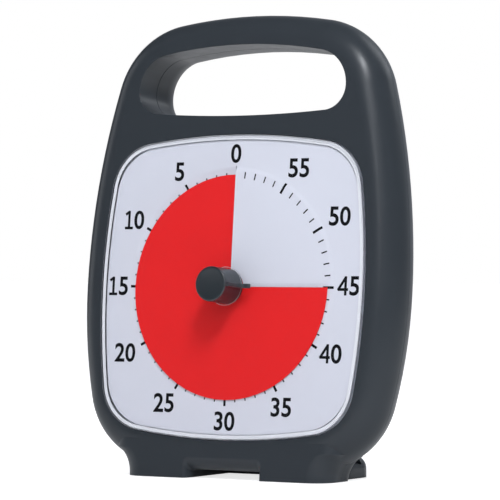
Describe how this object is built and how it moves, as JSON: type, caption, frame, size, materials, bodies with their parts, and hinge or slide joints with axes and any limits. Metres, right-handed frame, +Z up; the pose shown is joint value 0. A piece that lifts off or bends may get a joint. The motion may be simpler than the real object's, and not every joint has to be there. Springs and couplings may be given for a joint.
{
  "type": "visual countdown timer",
  "caption": "Desktop countdown timer with a handle, a clear lens, a white dial, a centre knob and a red disc that shrinks as time runs out.",
  "frame": {"origin": "centre of the whole timer's footprint, on the table", "axes": "+Z up, -Y the way the dial looks, +X to the right as the dial is seen"},
  "size_m": [0.1414, 0.0536, 0.1774],
  "materials": {
    "charcoal_shell": "charcoal ABS, satin",
    "charcoal_knob": "charcoal ABS, fine grain",
    "clear_lens": "clear moulded plastic, polished",
    "white_print": "white printed sheet",
    "white_frame": "white moulded plastic",
    "red_film": "red film, slightly glossy",
    "clear_film": "clear film",
    "steel": "zinc plated",
    "brass_parts": "turned brass",
    "gear_plastic": "natural acetal",
    "black_plastic": "black moulded plastic",
    "copper_wire": "enamelled winding",
    "green_board": "solder mask",
    "cell_wrap": "plain printed sleeve",
    "pad_rubber": "soft rubber",
    "blue_pot": "moulded plastic"
  },
  "bodies": {
    "body": {"front_housing": "charcoal_shell", "rear_housing": "charcoal_shell", "lens": "clear_lens", "dial_plate": "white_print", "dial_carrier": "white_frame", "carrier_screws": "steel", "bushing_nut": "brass_parts", "movement_front": "black_plastic", "movement_rear": "black_plastic", "stator": "steel", "coil": "copper_wire", "circuit_board": "green_board", "quartz_crystal": "steel", "driver_chip": "black_plastic", "board_screws": "steel", "battery": "cell_wrap", "contact_plate": "steel", "contact_spring": "steel", "speaker_frame": "steel", "speaker_cone": "black_plastic", "volume_pot": "blue_pot", "case_screws": "steel", "foot_pads": "pad_rubber"},
    "knob_set": {"knob": "charcoal_knob", "spindle": "steel", "centre_wheel": "gear_plastic", "clutch_washer": "brass_parts"},
    "disc": {"time_disc": "red_film", "disc_strip": "clear_film", "disc_hub": "red_film"},
    "third": {"third_wheel": "gear_plastic"},
    "fourth": {"fourth_wheel": "gear_plastic"},
    "rotor_body": {"rotor": "steel"},
    "door": {"battery_door": "charcoal_shell"},
    "volume": {"volume_dial": "charcoal_knob"}
  },
  "joints": [
    {"name": "knob_turn", "type": "hinge", "parent": "body", "child": "knob_set", "pos_m": [0, -0.01166, 0.0731], "axis": [0, -0.9954, 0.0958], "range_deg": [-270, 90]},
    {"name": "disc_slide", "type": "slide", "parent": "knob_set", "child": "disc", "axis": [0, -0.9954, 0.0958], "range_m": [-0.00102, 0.00034]},
    {"name": "third_turn", "type": "hinge", "parent": "body", "child": "third", "pos_m": [-0.0141, -0.0022, 0.06703], "axis": [0, -0.9954, 0.0958], "range_deg": [-360, 1080]},
    {"name": "fourth_turn", "type": "hinge", "parent": "body", "child": "fourth", "pos_m": [-0.01099, -0.00331, 0.0555], "axis": [0, -0.9954, 0.0958], "range_deg": [-4320, 1440]},
    {"name": "rotor_turn", "type": "hinge", "parent": "body", "child": "rotor_body", "pos_m": [-0.00101, -0.00331, 0.0555], "axis": [0, -0.9954, 0.0958], "range_deg": [-5400, 16200]},
    {"name": "door_swing", "type": "hinge", "parent": "body", "child": "door", "pos_m": [0, 0.01201, 0.0226], "axis": [-1, 0, 0], "range_deg": [0, 90]},
    {"name": "volume_turn", "type": "hinge", "parent": "body", "child": "volume", "pos_m": [0.026, 0.01966, 0.10625], "axis": [0, 0.9954, -0.0958], "range_deg": [-135, 135]}
  ],
  "couplings": [
    {"joint": "disc_slide", "follows": "knob_turn", "m_per_rad": 0.00021486},
    {"joint": "third_turn", "follows": "knob_turn", "ratio": -4},
    {"joint": "fourth_turn", "follows": "knob_turn", "ratio": 16},
    {"joint": "rotor_turn", "follows": "knob_turn", "ratio": -60}
  ]
}
